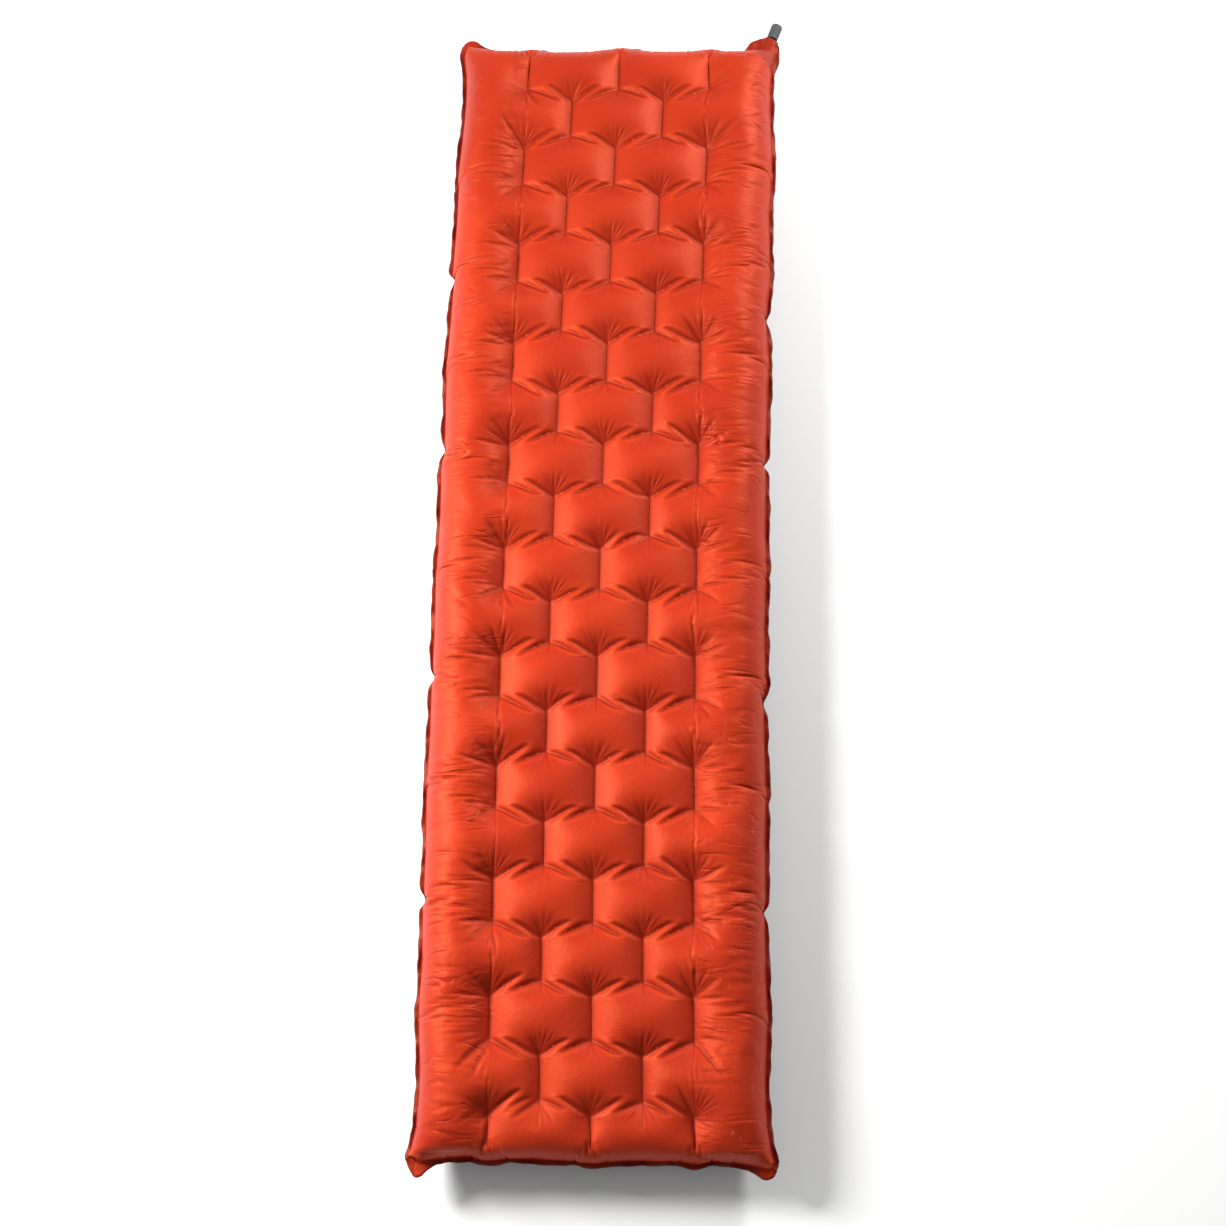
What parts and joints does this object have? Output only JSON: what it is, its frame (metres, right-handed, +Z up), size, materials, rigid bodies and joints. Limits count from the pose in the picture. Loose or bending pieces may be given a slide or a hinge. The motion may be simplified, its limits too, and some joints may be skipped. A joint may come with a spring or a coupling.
{
  "type": "inflatable sleeping pad",
  "caption": "Inflatable sleeping pad with quilted air cells between two welded fabric panels, larger side chambers and a twist valve at one head corner.",
  "frame": {"origin": "on the ground, under the middle of the pad's whole box", "axes": "+Y along the pad to its head end, +X to the valve's side, +Z up"},
  "size_m": [0.5498, 1.8928, 0.108],
  "materials": {
    "top_fabric": "orange-red woven nylon with a satin sheen, coated inside",
    "bottom_fabric": "dark grey-purple woven nylon, matte, coated inside",
    "baffle_film": "pale laminate film",
    "valve_plastic": "black moulded plastic",
    "knob_plastic": "dark grey moulded plastic with lengthwise ribs",
    "seal_rubber": "black rubber ring"
  },
  "bodies": {
    "pad": {"top_panel": "top_fabric", "bottom_panel": "bottom_fabric", "baffle_01_left": "baffle_film", "baffle_01_middle": "baffle_film", "baffle_01_right": "baffle_film", "baffle_02_left": "baffle_film", "baffle_02_right": "baffle_film", "baffle_03_left": "baffle_film", "baffle_03_middle": "baffle_film", "baffle_03_right": "baffle_film", "baffle_04_left": "baffle_film", "baffle_04_right": "baffle_film", "baffle_05_left": "baffle_film", "baffle_05_middle": "baffle_film", "baffle_05_right": "baffle_film", "baffle_06_left": "baffle_film", "baffle_06_right": "baffle_film", "baffle_07_left": "baffle_film", "baffle_07_middle": "baffle_film", "baffle_07_right": "baffle_film", "baffle_08_left": "baffle_film", "baffle_08_right": "baffle_film", "baffle_09_left": "baffle_film", "baffle_09_middle": "baffle_film", "baffle_09_right": "baffle_film", "baffle_10_left": "baffle_film", "baffle_10_right": "baffle_film", "baffle_11_left": "baffle_film", "baffle_11_middle": "baffle_film", "baffle_11_right": "baffle_film", "baffle_12_left": "baffle_film", "baffle_12_right": "baffle_film", "baffle_13_left": "baffle_film", "baffle_13_middle": "baffle_film", "baffle_13_right": "baffle_film", "baffle_14_left": "baffle_film", "baffle_14_right": "baffle_film", "baffle_15_left": "baffle_film", "baffle_15_middle": "baffle_film", "baffle_15_right": "baffle_film", "baffle_16_left": "baffle_film", "baffle_16_right": "baffle_film", "baffle_17_left": "baffle_film", "baffle_17_middle": "baffle_film", "baffle_17_right": "baffle_film", "baffle_18_left": "baffle_film", "baffle_18_right": "baffle_film", "baffle_19_left": "baffle_film", "baffle_19_middle": "baffle_film", "baffle_19_right": "baffle_film", "baffle_20_left": "baffle_film", "baffle_20_right": "baffle_film", "baffle_21_left": "baffle_film", "baffle_21_middle": "baffle_film", "baffle_21_right": "baffle_film", "valve_stem": "valve_plastic"},
    "piston": {"valve_piston": "valve_plastic", "piston_seal_lower": "seal_rubber", "piston_seal_upper": "seal_rubber"},
    "knob": {"valve_knob": "knob_plastic"}
  },
  "joints": [
    {"name": "piston_slide", "type": "slide", "parent": "pad", "child": "piston", "axis": [0.342, 0.9397, 0], "range_m": [0, 0.004]},
    {"name": "knob_turn", "type": "hinge", "parent": "piston", "child": "knob", "pos_m": [0.256, 0.91492, 0.054], "axis": [0.342, 0.9397, 0], "range_deg": [0, 270]}
  ],
  "couplings": [
    {"joint": "knob_turn", "follows": "piston_slide", "rad_per_m": 1178}
  ]
}
